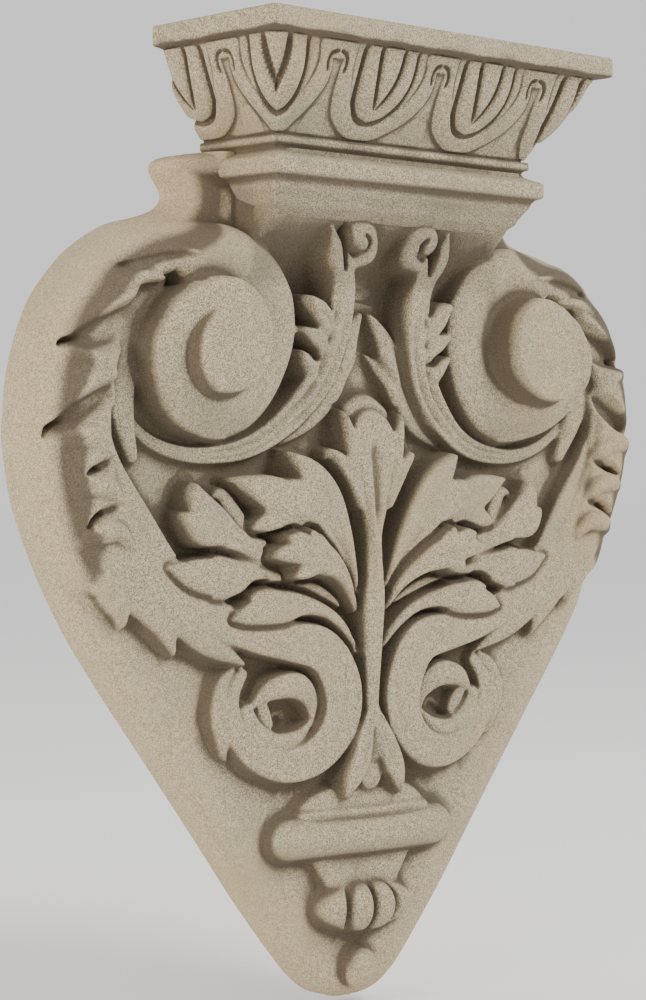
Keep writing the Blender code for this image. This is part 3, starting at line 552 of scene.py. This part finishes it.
def wander(x, z):
    """How far the carver's hand strays from the drawing, fading towards the outline."""
    fading = np.clip((outline_half(z) - np.abs(x)) / 12, 0, 1)
    aside = 0.5 * np.sin(x / 23 + z / 31) + 0.35 * np.sin(z / 17 - x / 41 + 1)
    upward = 0.5 * np.sin(x / 29 - z / 37 + 2) + 0.35 * np.sin(x / 15 + z / 53)
    uneven = 0.35 * np.sin(x / 11 + 0.4) * np.sin(z / 13)
    return x + aside * fading, z + upward * fading, uneven * fading


def surface(chart, x, z):
    """Depth of the finished surface at these points."""
    strayed_x, strayed_z, uneven = wander(x, z)
    depth = chart.read(chart.depth, strayed_x, strayed_z) + uneven
    return finish_edges(depth, z, chart.read(chart.rim, x, z))


def gather(chart, x, z, passes):
    """Draws the points of a grid towards each other's longer sides, so steep walls get more of them."""
    for _ in range(passes):
        y = surface(chart, x, z)
        total = np.zeros((x.shape[0] - 2, x.shape[1] - 2))
        sum_x = np.zeros(total.shape)
        sum_z = np.zeros(total.shape)
        centre = (slice(1, -1), slice(1, -1))
        for side in ((slice(None, -2), slice(1, -1)), (slice(2, None), slice(1, -1)),
                     (slice(1, -1), slice(None, -2)), (slice(1, -1), slice(2, None))):
            length = np.sqrt((x[side] - x[centre]) ** 2 + (y[side] - y[centre]) ** 2
                             + (z[side] - z[centre]) ** 2)
            total += length
            sum_x += length * x[side]
            sum_z += length * z[side]
        x[centre] += 0.6 * (sum_x / total - x[centre])
        z[centre] += 0.6 * (sum_z / total - z[centre])
    return x, z


def grid_piece(name, rows, columns, points):
    """A grid primitive with its points moved to their places, in metres."""
    bpy.ops.mesh.primitive_grid_add(x_subdivisions=columns - 1, y_subdivisions=rows - 1, size=1.0)
    piece = bpy.context.object
    piece.name = name
    piece.data.name = name
    piece.data.vertices.foreach_set("co", points.astype(np.float32).ravel())
    piece.data.update()
    return piece


def pick(piece, chosen):
    """Selects these points of a piece in edit mode."""
    bpy.ops.object.mode_set(mode="OBJECT")
    for kind in (piece.data.vertices, piece.data.edges, piece.data.polygons):
        kind.foreach_set("select", np.zeros(len(kind), bool))
    flags = np.zeros(len(piece.data.vertices), bool)
    flags[chosen] = True
    piece.data.vertices.foreach_set("select", flags)
    bpy.ops.object.mode_set(mode="EDIT")
    bpy.ops.mesh.select_mode(type="VERT")


def turn_outwards():
    """Recalculates the faces of the closed piece in hand to point out."""
    bpy.ops.object.mode_set(mode="EDIT")
    bpy.ops.mesh.select_all(action="SELECT")
    bpy.ops.mesh.normals_make_consistent(inside=False)
    bpy.ops.object.mode_set(mode="OBJECT")


def border(rows, columns):
    """Numbers of the points round a grid, once round."""
    numbers = np.arange(rows * columns).reshape(rows, columns)
    return np.concatenate([numbers[0], numbers[1:, -1], numbers[-1, -2::-1], numbers[-2:0:-1, 0]])


def close_shelf(piece, rows, columns):
    """Closes the shelf above, below and at the wall."""
    numbers = np.arange(rows * columns).reshape(rows, columns)
    for chosen in (numbers[0], numbers[-1], np.concatenate([numbers[:, 0], numbers[:, -1]])):
        pick(piece, chosen)
        bpy.ops.mesh.edge_face_add()
    turn_outwards()


def close_plate(piece, rows, columns):
    """Draws the rim of the plate back to the wall and closes it there."""
    around = border(rows, columns)
    pick(piece, around)
    bpy.ops.mesh.extrude_region_move(TRANSFORM_OT_translate={"value": (0, 0.001, 0)})
    bpy.ops.object.mode_set(mode="OBJECT")
    count = len(piece.data.vertices)
    flat = np.empty(count * 3, np.float32)
    piece.data.vertices.foreach_get("co", flat)
    flat = flat.reshape(-1, 3)
    flat[rows * columns:, 1] = 0
    piece.data.vertices.foreach_set("co", flat.ravel())
    pick(piece, np.arange(rows * columns, count))
    bpy.ops.mesh.edge_face_add()
    turn_outwards()


def store_tint_amount(piece, name, values):
    """Stores an amount at each point as an attribute; here the dirt with painted shade, and the rim's
    tint that is partly painted light.
    """
    layer = piece.data.attributes.new(name, "FLOAT", "POINT")
    full = np.zeros(len(piece.data.vertices), np.float32)
    full[:len(values)] = np.clip(values, 0, 1.5)
    layer.data.foreach_set("value", full)


def apply_modifier(piece, modifier):
    """Applies a piece's modifier."""
    bpy.context.view_layer.objects.active = piece
    bpy.ops.object.modifier_apply(modifier=modifier.name)


def build_plate():
    """The plate with all its carving, as one relief."""
    chart = Map(MAP_STEP)
    spread_x = (np.arange(chart.depth.shape[1]) - chart.middle) * chart.step
    spread_z = np.arange(chart.depth.shape[0]) * chart.step + MAP_LOW
    chart.rim = edge_distance(*np.abs(np.meshgrid(spread_x, spread_z)))
    spacing = np.concatenate([[0], np.cumsum(np.hypot(*np.diff(OUTLINE, axis=0).T))])
    even = np.linspace(0, spacing[-1], int(spacing[-1] / PLATE_STEP))
    heights = np.interp(even, spacing, OUTLINE[:, 1])
    halves = np.interp(even, spacing, OUTLINE[:, 0])
    keep = np.concatenate([[True], np.diff(heights) > 0.02])
    heights, halves = heights[keep], halves[keep]
    columns = int(2 * PLATE_HALF / PLATE_STEP) | 1
    x = halves[:, None] * np.linspace(-1, 1, columns)[None, :]
    z = np.repeat(heights[:, None], columns, 1)
    x, z = gather(chart, x, z, GATHER_PASSES)
    points = np.stack([x, -surface(chart, x, z), z - HEIGHT / 2], -1)
    plate = grid_piece("plate", len(heights), columns, points.reshape(-1, 3) * MM)
    close_plate(plate, len(heights), columns)
    thin = plate.modifiers.new("thin", "DECIMATE")
    thin.ratio = min(1.0, PLATE_TRIANGLES / (2 * len(heights) * columns + 4 * columns))
    apply_modifier(plate, thin)
    places = np.empty(len(plate.data.vertices) * 3, np.float32)
    plate.data.vertices.foreach_get("co", places)
    places = places.reshape(-1, 3) / MM
    strayed_x, strayed_z, uneven = wander(places[:, 0], places[:, 2] + HEIGHT / 2)
    rim = chart.read(chart.rim, places[:, 0], places[:, 2] + HEIGHT / 2)
    # Dirt and painted shade: the plate is darker where its surface lies below the soft average around
    # it, in the hollows, most of all away from the rim
    dirt_and_shade = np.zeros(len(places))
    upper = np.clip((places[:, 2] + HEIGHT / 2 - 190) / 30, 0, 1)
    for reach, soft in chart.around:
        below = chart.read(soft, strayed_x, strayed_z) + uneven + places[:, 1]
        spare = 3 + reach * (0.3 + 1.7 * upper)
        sheltered = np.clip((rim - spare) / spare, 0, 1)
        dirt_and_shade += np.clip(below / reach, 0, 1) * 0.5 * sheltered
    # Painted shade: steep walls inside the carving are darkened, most of all low down, where the raised
    # forms shade them
    facing = np.empty(len(places) * 3, np.float32)
    plate.data.vertex_normals.foreach_get("vector", facing)
    steep = np.clip(0.85 - np.abs(facing.reshape(-1, 3)[:, 1]), 0, 0.6) / 0.6
    inner = np.clip((rim - 6 - 24 * upper) / 14, 0, 1)
    dirt_and_shade += 0.75 * steep * np.clip((below + 8) / 8, 0, 1) * inner
    # Painted shade: the neck under the shelf is darkened, as if the shelf shades it
    neck_shade = np.clip((NECK_HALF - np.abs(places[:, 0])) / 5, 0, 1)
    dirt_and_shade += 0.28 * neck_shade * np.clip((places[:, 2] + HEIGHT / 2 - NECK_LOW) / 12, 0, 1)
    store_tint_amount(plate, "dirt_and_shade", dirt_and_shade)
    # Partly painted light and partly a washed-clean rim: the stone near the outline is paler and warmer
    store_tint_amount(plate, "washed_and_lit", np.clip((26 - rim) / 16, 0, 1))
    return plate


# Shelf sizes
SHELF_HALF = 122.8
SHELF_DEPTH = 90.5
FRONT_SHARE = 1.08
LEAF_TOP = 488.6
LEAF_FOOT = 445.5
LEAF_PITCH = 35.5
LOOP_X = 71.0
SIDE_LOOP = 43.0
NECK_TOP = 426.0

# Points of the shelf's grid along a flank, round a corner and along the front, and its steps downwards
SIDES, CORNERS, FRONTS = ((128, 22, 390))
LEAF_STEP = 0.62
PLAIN_STEP = 1.6
LEAF_SOFTENING = 3

# Levels darkened along the creases of the profile as dirt and painted shade, with how far it spreads
DARK_CREASE_LEVELS = ((445.0, 1.3), (438.4, 2.4), (489.0, 1.2), (423.6, 1.5))

# Profile of the shelf, its quarter round, fillets and neck: height, inset from the edge, corner radius
PROFILE = ((500.0, 2.0, 3.5), (499.7, 1.0, 3.2), (498.9, 0.4, 3.0), (494.0, 0.4, 3.0),
           (490.6, 0.4, 3.0), (489.9, 0.8, 3.0), (489.5, 1.8, 3.5), (489.2, 5.0, 7.0),
           (488.6, 7.0, 9.0), (485.9, 8.6, 10.0), (480.5, 10.2, 12.0), (475.2, 12.2, 13.0),
           (469.9, 14.9, 13.0), (464.6, 18.4, 12.0), (459.4, 22.8, 10.0), (454.1, 27.6, 8.0),
           (449.5, 31.2, 6.0), (446.2, 33.2, 4.0), (444.9, 33.6, 3.0), (444.6, 32.4, 2.5),
           (444.2, 31.2, 2.0), (440.9, 31.0, 2.0), (440.3, 31.6, 2.0), (439.8, 33.0, 2.0),
           (438.4, 33.8, 2.0), (436.6, 32.8, 2.0), (435.2, 30.2, 2.0), (434.0, 27.2, 2.0),
           (433.2, 25.9, 2.0), (432.4, 25.5, 2.0), (426.2, 25.6, 2.0), (425.2, 26.4, 2.0),
           (424.4, 28.6, 2.0), (422.6, 30.0, 2.0), (420.0, 30.9, 2.2), (417.0, 32.8, 2.6),
           (414.2, 34.4, 3.0), (411.0, 35.6, 3.5), (406.0, 41.0, 6.0))


def perimeter(inset, radius):
    """Points round three sides of a level, the ways out from them, and its half width and depth."""
    x = SHELF_HALF - inset
    y = SHELF_DEPTH - inset * FRONT_SHARE
    radius = min(radius, y * 0.9)
    flank = np.linspace(0, 1, SIDES, endpoint=False) * (y - radius)
    turn = np.radians(np.linspace(0, 90, CORNERS, endpoint=False))
    front = np.linspace(1, -1, FRONTS) * (x - radius)
    xs = [np.full(SIDES, x), x - radius + radius * np.cos(turn), front]
    ys = [flank, y - radius + radius * np.sin(turn), np.full(FRONTS, y)]
    nx = [np.ones(SIDES), np.cos(turn), np.zeros(FRONTS)]
    ny = [np.zeros(SIDES), np.sin(turn), np.ones(FRONTS)]
    right = [np.concatenate(part) for part in (xs, ys, nx, ny)]
    mirrored = SIDES + CORNERS
    left = [part[:mirrored][::-1] for part in right]
    px = np.concatenate([right[0], -left[0]])
    py = np.concatenate([right[1], left[1]])
    vx = np.concatenate([right[2], -left[2]])
    vy = np.concatenate([right[3], left[3]])
    return px, py, vx, vy, x, y


def leaf_moulding(x, depth, z, level_x, level_y):
    """How far the leaf-and-tongue carving stands off the quarter round."""
    w = LEAF_TOP - z
    front = np.abs(x) < level_x - (level_y - depth) * 0.999
    gap = np.where(front, np.abs(x) - LOOP_X, depth - SIDE_LOOP)
    to_corner = np.where(front, level_x - LOOP_X, level_y - SIDE_LOOP)
    before = np.where(front, np.abs(np.abs(x) - LEAF_PITCH), np.abs(depth - SIDE_LOOP + LEAF_PITCH))
    after = LEAF_PITCH * (1 - gap / to_corner)
    a = np.where(gap < 0, np.minimum(before, LEAF_PITCH), np.clip(after, 0, LEAF_PITCH))
    s = Sheet(a, w)
    s.depth = np.zeros(a.shape)
    # ground between the leaves, the small leaf at the foot, the rim, the egg and its slit tongue
    s.band([(LEAF_PITCH, 46, 12, 0.8), (LEAF_PITCH, 38, 9, 1.0), (LEAF_PITCH, 33, 4, 0.7),
            (LEAF_PITCH, 30, 1.5, 0.4)], crown=0.8, edge=1.2, wall=0.9)
    s.band([(30.0, -6, 5.6, 1.7), (29.6, 3, 5.6, 1.9), (28.6, 8, 4.0, 2.0), (28.6, 14, 4.6, 2.1),
            (27.0, 21, 5.4, 2.3), (22.0, 29, 5.2, 2.5), (13, 35.5, 4.6, 2.6), (5, 38.6, 4.4, 2.7),
            (-6, 39.5, 4.4, 2.7)], crown=1.3, edge=1.8, wall=1.0)
    s.band([(LEAF_PITCH, -7, 7.5, 1.8), (LEAF_PITCH, 2.2, 6.5, 1.9)], crown=0.3, edge=1.0, wall=0.8)
    s.band([(0, -8, 18.0, 2.5), (0, 8, 18.6, 2.9), (0, 17, 17.6, 3.2), (0, 24, 13.6, 3.3),
            (0, 30, 6.6, 3.1)], crown=2.3, edge=3.0, wall=1.1)
    s.groove([(17.6, -4, 1.3), (18.4, 8, 1.3), (17.8, 18, 1.3), (14.4, 27, 1.3), (7, 33.6, 1.2),
              (-5, 35.4, 1.2)], deep=2.6)
    s.groove([(7.8, -4, 1.5), (7.4, 8, 1.5), (5.4, 18, 1.4), (1.8, 26, 1.2), (-0.6, 30, 0.9)], deep=3.4)
    s.groove([(LEAF_PITCH - 4.6, 16, 1.0), (LEAF_PITCH - 5.8, 10.5, 1.1), (LEAF_PITCH - 4.2, 6.2, 1.1),
              (36.6, 4.6, 1.0)], deep=1.8)
    fade = np.clip((z - LEAF_FOOT) / 1.5, 0, 1) * np.clip((LEAF_TOP + 0.3 - z) / 1.2, 0, 1)
    return s.depth * fade


def build_shelf():
    """The shelf: a grid rolled round three sides of the profile, closed behind, above and below."""
    fine = []
    for above, below in zip(PROFILE[:-1], PROFILE[1:]):
        run = math.hypot(above[0] - below[0], above[1] - below[1])
        step = LEAF_STEP if LEAF_FOOT - 1 < above[0] <= LEAF_TOP else PLAIN_STEP
        count = max(1, int(run / step))
        for index in range(count):
            t = index / count
            fine.append([a + (b - a) * t for a, b in zip(above, below)])
    fine.append(list(PROFILE[-1]))
    fine = np.array(fine)
    leaf_rows = (fine[:, 0] < LEAF_TOP - 0.5) & (fine[:, 0] > LEAF_FOOT + 0.5)
    for _ in range(LEAF_SOFTENING):
        average = (fine[:-2] + 2 * fine[1:-1] + fine[2:]) / 4
        fine[1:-1] = np.where(leaf_rows[1:-1, None], average, fine[1:-1])
    rings = []
    # The leaves' shifts, from which the dirt and painted shade between them are worked out
    dirt_and_shade = []
    for z, inset, radius in fine:
        px, py, vx, vy, level_x, level_y = perimeter(inset, radius)
        shift = np.zeros(px.shape)
        if LEAF_FOOT < z < LEAF_TOP + 0.4:
            shift = leaf_moulding(px, py, np.full(px.shape, z), level_x, level_y)
            slope = 0.45 + 0.55 * (z - LEAF_FOOT) / (LEAF_TOP - LEAF_FOOT)
            px = px + vx * shift * slope
            py = py + vy * shift * slope
            z = z - shift * (1 - slope)
        else:
            z = np.full(px.shape, z)
        rings.append(np.stack([px, -np.maximum(py, 0), z - HEIGHT / 2], -1))
        dirt_and_shade.append(shift)
    points = np.array(rings)
    shifts = np.array(dirt_and_shade)
    rows, columns = points.shape[:2]
    shelf = grid_piece("shelf", rows, columns, points.reshape(-1, 3) * MM)
    close_shelf(shelf, rows, columns)
    # Dirt and painted shade: darker between the leaves of the moulding and along the creases of the
    # profile
    darkening = np.zeros((rows, columns))
    for reach in (2, 5):
        darkening += np.clip(blur(shifts, reach) - shifts, 0, 2) / 1.2
    lowest = fine[:, 0]
    for height, spread in DARK_CREASE_LEVELS:
        darkening += 0.7 * np.exp(-((lowest - height) / spread) ** 2)[:, None]
    darkening[(lowest < LEAF_FOOT) & (lowest > LEAF_FOOT - 1)] *= 0.8
    # Painted shade: the neck under the shelf is darkened, as if the shelf shades it
    darkening += 0.26 * np.clip((NECK_TOP - lowest) / 8, 0, 1)[:, None]
    store_tint_amount(shelf, "dirt_and_shade", darkening.ravel())
    return shelf


# Material


class Value:
    """A number that flows between shader nodes."""

    def __init__(self, maker, socket):
        self.maker = maker
        self.socket = socket

    def combine(self, other, operation, swapped=False):
        first, second = (other, self) if swapped else (self, other)
        return self.maker.node("ShaderNodeMath", {"operation": operation}, {0: first, 1: second})

    def __add__(self, other):
        return self.combine(other, "ADD")

    def __radd__(self, other):
        return self.combine(other, "ADD", True)

    def __sub__(self, other):
        return self.combine(other, "SUBTRACT")

    def __rsub__(self, other):
        return self.combine(other, "SUBTRACT", True)

    def __mul__(self, other):
        return self.combine(other, "MULTIPLY")


class Finish:
    """A material with its nodes."""

    def __init__(self, name, colour, roughness):
        self.material = bpy.data.materials.new(name)
        self.material.use_nodes = True
        self.tree = self.material.node_tree
        self.shader = self.tree.nodes["Principled BSDF"]
        self.shader.inputs["Base Color"].default_value = (*colour, 1)
        self.shader.inputs["Roughness"].default_value = roughness
        self.shader.inputs["Metallic"].default_value = 0

    def node(self, kind, settings=None, sockets=None, output=0):
        made = self.tree.nodes.new(kind)
        for key, setting in (settings or {}).items():
            setattr(made, key, setting)
        for key, value in (sockets or {}).items():
            self.feed(made.inputs[key], value)
        return Value(self, made.outputs[output])

    def feed(self, socket, value):
        if isinstance(value, Value):
            self.tree.links.new(value.socket, socket)
        else:
            socket.default_value = value


def mix_colours(finish, factor, first, second):
    """Mixes two colours."""
    return finish.node("ShaderNodeMix", {"data_type": "RGBA"}, {0: factor, 6: first, 7: second}, 2)


def ramp(finish, value, low, high):
    """Turns a value between low and high into 0 to 1."""
    return finish.node("ShaderNodeMapRange", {"clamp": True, "interpolation_type": "SMOOTHSTEP"},
                       {0: value, 1: low, 2: high, 3: 0.0, 4: 1.0})


PALE_GRAIN = (0.49, 0.418, 0.286, 1)
MID_GRAIN = (0.205, 0.168, 0.108, 1)
DARK_GRAIN = (0.05, 0.04, 0.026, 1)
WARM_STONE = (0.43, 0.31, 0.16, 1)
BRIGHT_GRAIN = (0.64, 0.53, 0.345, 1)
GREEN_STONE = (0.24, 0.235, 0.16, 1)
# Pale warm tint of the rim, partly painted light and partly washed stone
WASHED_AND_LIT_STONE = (0.62, 0.46, 0.26, 1)
# Deep brown of the dirt and the painted shade in the hollows
DIRT_AND_SHADE_COLOUR = (0.06, 0.042, 0.025, 1)

# How many times the patterns repeat in a metre
GRAIN_SCALE = 1500.0
COARSE_SCALE = 480.0
DARK_SPECK_SCALE = 1000.0
PALE_SPECK_SCALE = 880.0
BLOTCH_SCALE = 19.0
PATCH_SCALE = 8.0
ROUGHNESS = 0.86
BUMP_DEPTH = 0.0007
SMOOTH_ANGLE = 76


def noise(finish, place, scale, detail, roughness):
    """A soft cloudy pattern."""
    return finish.node("ShaderNodeTexNoise", sockets={
        "Vector": place, "Scale": scale, "Detail": detail, "Roughness": roughness})


def specks(finish, place, scale):
    """A pattern that is 0 in the middle of each grain."""
    return finish.node("ShaderNodeTexVoronoi",
                       sockets={"Vector": place, "Scale": scale, "Randomness": 1.0})


def stone_finish():
    """Warm grey sandstone: mixed grains, faint blotches, dirt and painted shade in the hollows and at
    the foot of walls, and a paler rim that is partly painted light.
    """
    finish = Finish("sandstone", (0.44, 0.39, 0.30), 0.92)
    place = finish.node("ShaderNodeTexCoord", output=3)
    grain = noise(finish, place, GRAIN_SCALE, 2.0, 0.65)
    coarse = noise(finish, place, COARSE_SCALE, 1.5, 0.5)
    dark = ramp(finish, specks(finish, place, DARK_SPECK_SCALE), 0.38, 0.12)
    pale = ramp(finish, specks(finish, place, PALE_SPECK_SCALE), 0.30, 0.10)
    blotch = noise(finish, place, BLOTCH_SCALE, 4.0, 0.6)
    patch = noise(finish, place, PATCH_SCALE, 3.0, 0.55)
    darkening = finish.node("ShaderNodeAttribute", {"attribute_name": "dirt_and_shade"}, output=2)
    washed_and_lit = finish.node("ShaderNodeAttribute", {"attribute_name": "washed_and_lit"}, output=2)
    # Dirt and painted shade from the attribute, broken up by blotches, darken the colour towards a deep
    # brown
    grime_and_shade = ramp(finish, darkening + blotch * 0.3 - 0.15, 0.05, 0.62)
    undarkened = 1.0 - grime_and_shade

    colour = mix_colours(finish, ramp(finish, grain * 0.85 + coarse * 0.15, 0.43, 0.57), MID_GRAIN,
                         PALE_GRAIN)
    colour = mix_colours(finish, dark * 0.7, colour, DARK_GRAIN)
    colour = mix_colours(finish, pale * 0.75, colour, BRIGHT_GRAIN)
    colour = mix_colours(finish, ramp(finish, blotch, 0.48, 0.7) * 0.4, colour, GREEN_STONE)
    colour = mix_colours(finish, ramp(finish, patch, 0.5, 0.72) * 0.35, colour, WARM_STONE)
    # The rim's paler warm tint, partly painted light and partly washed stone, kept off the darkened
    # places
    colour = mix_colours(finish, washed_and_lit * undarkened * 0.2, colour, WASHED_AND_LIT_STONE)
    colour = mix_colours(finish, grime_and_shade * 0.85, colour, DIRT_AND_SHADE_COLOUR)
    finish.feed(finish.shader.inputs["Base Color"], colour)
    finish.feed(finish.shader.inputs["Roughness"], ROUGHNESS + grain * 0.12)
    height = grain * 0.7 + coarse * 1.0 + blotch * 0.6
    bump = finish.node("ShaderNodeBump",
                       sockets={"Strength": 0.7, "Distance": BUMP_DEPTH, "Height": height})
    finish.feed(finish.shader.inputs["Normal"], bump)
    return finish.material


# The pieces

stone = stone_finish()
pieces = [build_plate(), build_shelf()]
for piece in pieces:
    for chosen in bpy.context.selected_objects:
        chosen.select_set(False)
    piece.select_set(True)
    bpy.context.view_layer.objects.active = piece
    bpy.ops.object.shade_smooth_by_angle(angle=math.radians(SMOOTH_ANGLE))
    piece.data.materials.clear()
    piece.data.materials.append(stone)
    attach(piece, "root")
    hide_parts("console")

# Floor, light and camera
FLOOR_SIZE = 30.0
FLOOR_Z = -0.2505
FLOOR_COLOUR = (0.97, 0.97, 0.965)
SKY_STRENGTH = 0.95

# Lamps: name, power in watts, size and place in metres, colour
LAMPS = (
    ("key_light", 44.0, 1.0, (1.0, -1.6, 1.4), (1.0, 0.985, 0.95)),
    ("left_light", 33.0, 0.9, (-2.1, -0.28, 0.35), (1.0, 0.91, 0.76)),
)

bpy.ops.mesh.primitive_plane_add(size=FLOOR_SIZE, location=(0, 0, FLOOR_Z))
floor = bpy.context.object
floor.name = "floor"
pale = Finish("pale_floor", FLOOR_COLOUR, 0.9)
floor.data.materials.append(pale.material)


def soft_light(name, power, size, place, colour):
    """A square studio lamp that looks at the middle of the console."""
    lamp = bpy.data.lights.new(name, "AREA")
    lamp.energy = power
    lamp.size = size
    lamp.color = colour
    holder = bpy.data.objects.new(name, lamp)
    holder.location = place
    holder.rotation_euler = (Vector((0, 0, 0)) - Vector(place)).to_track_quat("-Z", "Y").to_euler()
    bpy.context.scene.collection.objects.link(holder)


for lamp_row in LAMPS:
    soft_light(*lamp_row)

world = bpy.data.worlds.new("studio")
bpy.context.scene.world = world
world.use_nodes = True
world.node_tree.nodes["Background"].inputs["Color"].default_value = (1, 1, 1, 1)
world.node_tree.nodes["Background"].inputs["Strength"].default_value = SKY_STRENGTH

# The camera stands to the left of the console, a little above its middle, and looks almost level
CAMERA_PLACE = (-0.935774, -0.987983, 0.031370)
CAMERA_TURN = (89.2862, 0.0, -43.2361)
CAMERA_LENS = 92.829

camera_data = bpy.data.cameras.new("camera")
camera_data.lens = CAMERA_LENS
camera_data.sensor_width = 36.0
camera = bpy.data.objects.new("camera", camera_data)
camera.location = CAMERA_PLACE
camera.rotation_euler = [math.radians(angle) for angle in CAMERA_TURN]
bpy.context.scene.collection.objects.link(camera)
bpy.context.scene.camera = camera
